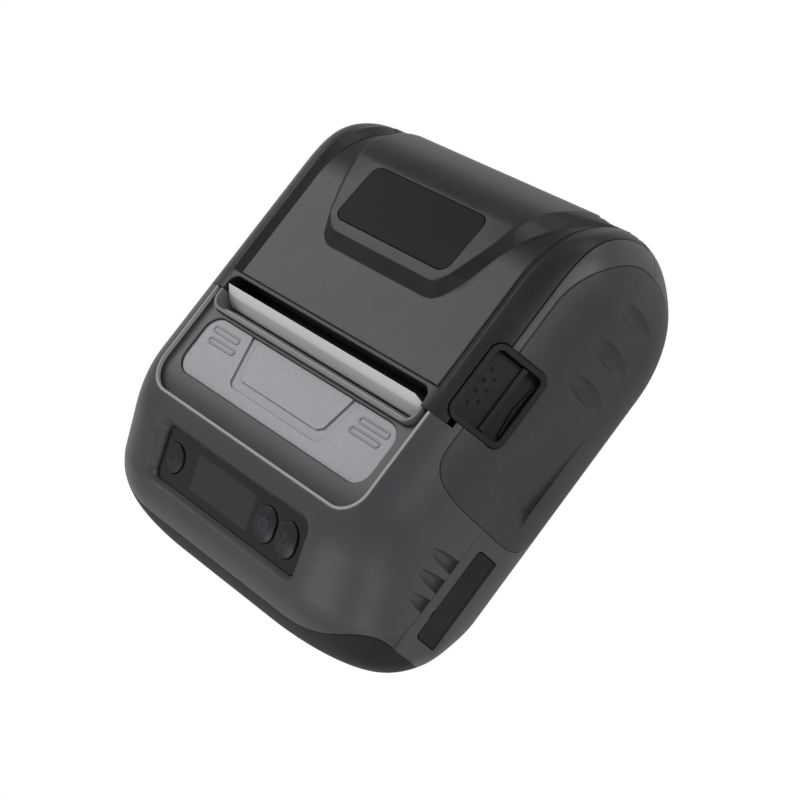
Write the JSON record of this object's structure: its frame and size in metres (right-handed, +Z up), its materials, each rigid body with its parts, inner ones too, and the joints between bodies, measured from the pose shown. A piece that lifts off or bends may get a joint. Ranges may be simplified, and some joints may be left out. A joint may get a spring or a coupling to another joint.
{
  "type": "portable thermal printer",
  "caption": "Palm-sized clamshell receipt printer with a swing-up paper cover, latch, sloped key and display panel, thermal print mechanism, paper roll and battery",
  "frame": {"origin": "middle of the underside, on the plane that the rubber feet stand on", "axes": "+X to the right seen from the nose, +Y from the nose to the hinge at the back, +Z up"},
  "size_m": [0.115, 0.128, 0.0578],
  "materials": {
    "case_plastic": "fine satin texture",
    "bumper_rubber": "matt soft touch",
    "plate_paint": "satin metallic grey paint",
    "trim_paint": "satin light grey paint",
    "bezel_plastic": "satin",
    "steel": "fine brushed",
    "cover_plastic": "fine spark-eroded texture",
    "smoked_window": "smoked, semi-clear",
    "inner_plastic": "moulded",
    "insert_plastic": "fine grain",
    "latch_plastic": "satin blue-black",
    "lens_gloss": "glossy black",
    "screen": "dark display",
    "key_plastic": "semi-gloss black",
    "board": "solder mask",
    "port_rubber": "matt",
    "module_can": "tinned can",
    "pack_wrap": "shrink wrap",
    "contact_brass": "plain",
    "paper": "smooth thermal coating",
    "core_card": "wound board",
    "head_ceramic": "glazed",
    "heat_aluminium": "milled",
    "platen_rubber": "ground",
    "gear_plastic": "acetal"
  },
  "bodies": {
    "base": {"upper_case": "case_plastic", "lower_case": "case_plastic", "front_bumper": "bumper_rubber", "front_plate": "plate_paint", "accent_trim": "trim_paint", "paper_exit_bezel": "bezel_plastic", "tear_bar": "steel", "hinge_pin": "steel", "latch_spring": "steel", "usb_socket": "steel", "case_screws": "steel", "head_frame": "steel", "head_pivot_pin": "steel", "head_springs": "steel", "idler_stud": "steel", "stepper_motor": "steel", "paper_tray": "inner_plastic", "dc_jack": "inner_plastic", "key_switches": "inner_plastic", "paper_sensor": "inner_plastic", "buzzer": "inner_plastic", "board_chips": "inner_plastic", "left_side_insert": "insert_plastic", "right_side_insert": "insert_plastic", "latch_bezel": "latch_plastic", "display_lens": "lens_gloss", "oled_display": "screen", "key_board": "board", "main_board": "board", "rubber_feet": "port_rubber", "wireless_module": "module_can", "battery_pack": "pack_wrap", "battery_connector": "contact_brass", "paper_strip": "paper"},
    "cover": {"top_cover": "cover_plastic", "cover_window": "smoked_window", "cover_inner_frame": "inner_plastic", "platen_bushes": "gear_plastic"},
    "platen": {"platen_shaft": "steel", "platen_roller": "platen_rubber", "platen_gear": "gear_plastic"},
    "idler": {"idler_gear": "gear_plastic"},
    "pinion": {"motor_pinion": "contact_brass", "motor_shaft": "steel"},
    "latch": {"open_latch": "latch_plastic"},
    "power_key": {"power_button": "key_plastic"},
    "settings_key": {"settings_button": "key_plastic"},
    "feed_key": {"feed_button": "key_plastic"},
    "port_flap": {"port_cover": "port_rubber"},
    "battery_hatch": {"battery_door": "case_plastic"},
    "hatch_latch": {"battery_latch": "inner_plastic"},
    "head": {"print_head": "head_ceramic", "heat_sink": "heat_aluminium"},
    "left_guide": {"left_paper_guide": "inner_plastic"},
    "right_guide": {"right_paper_guide": "inner_plastic"},
    "roll": {"paper_roll": "paper", "roll_core": "core_card"}
  },
  "joints": [
    {"name": "cover_hinge", "type": "hinge", "parent": "base", "child": "cover", "pos_m": [0, 0.0595, 0.037], "axis": [-1, 0, 0], "range_deg": [0, 90]},
    {"name": "platen_spin", "type": "hinge", "parent": "cover", "child": "platen", "pos_m": [0, -0.001, 0.0425], "axis": [1, 0, 0], "continuous": true},
    {"name": "idler_spin", "type": "hinge", "parent": "base", "child": "idler", "pos_m": [-0.047, 0.0007, 0.03037], "axis": [1, 0, 0], "continuous": true},
    {"name": "pinion_spin", "type": "hinge", "parent": "base", "child": "pinion", "pos_m": [-0.047, -0.00722, 0.02135], "axis": [1, 0, 0], "continuous": true},
    {"name": "latch_slide", "type": "slide", "parent": "base", "child": "latch", "axis": [0.617, 0, -0.7869], "range_m": [0, 0.0025], "stiffness_N_per_m": 300, "springref_m": -0.002},
    {"name": "power_press", "type": "slide", "parent": "base", "child": "power_key", "axis": [0, 0.4384, -0.8988], "range_m": [0, 0.0006], "stiffness_N_per_m": 900, "springref_m": -0.001},
    {"name": "settings_press", "type": "slide", "parent": "base", "child": "settings_key", "axis": [0, 0.4384, -0.8988], "range_m": [0, 0.0006], "stiffness_N_per_m": 900, "springref_m": -0.001},
    {"name": "feed_press", "type": "slide", "parent": "base", "child": "feed_key", "axis": [0, 0.4384, -0.8988], "range_m": [0, 0.0006], "stiffness_N_per_m": 900, "springref_m": -0.001},
    {"name": "port_flap_hinge", "type": "hinge", "parent": "base", "child": "port_flap", "pos_m": [0.05675, -0.03385, 0.0203], "axis": [0, 1, 0], "range_deg": [0, 100]},
    {"name": "hatch_hinge", "type": "hinge", "parent": "base", "child": "battery_hatch", "pos_m": [0.001, -0.0343, 0.0023], "axis": [-1, 0, 0], "range_deg": [0, 90]},
    {"name": "hatch_latch_slide", "type": "slide", "parent": "battery_hatch", "child": "hatch_latch", "axis": [0, -1, 0], "range_m": [0, 0.002], "stiffness_N_per_m": 200, "springref_m": -0.002},
    {"name": "head_pivot", "type": "hinge", "parent": "base", "child": "head", "pos_m": [0, -0.0087, 0.034], "axis": [1, 0, 0], "range_deg": [0, 3], "stiffness_Nm_per_rad": 0.4, "springref_deg": -17.19},
    {"name": "left_guide_slide", "type": "slide", "parent": "base", "child": "left_guide", "axis": [-1, 0, 0], "range_m": [0, 0.0024], "stiffness_N_per_m": 120, "springref_m": -0.002},
    {"name": "right_guide_slide", "type": "slide", "parent": "base", "child": "right_guide", "axis": [1, 0, 0], "range_m": [0, 0.0024], "stiffness_N_per_m": 120, "springref_m": -0.002},
    {"name": "roll_spin", "type": "hinge", "parent": "base", "child": "roll", "pos_m": [0, 0.0325, 0.0295], "axis": [1, 0, 0], "continuous": true}
  ],
  "couplings": [
    {"joint": "idler_spin", "follows": "platen_spin", "ratio": -0.36111},
    {"joint": "pinion_spin", "follows": "platen_spin", "ratio": 1.0833},
    {"joint": "right_guide_slide", "follows": "left_guide_slide", "ratio": 1}
  ]
}
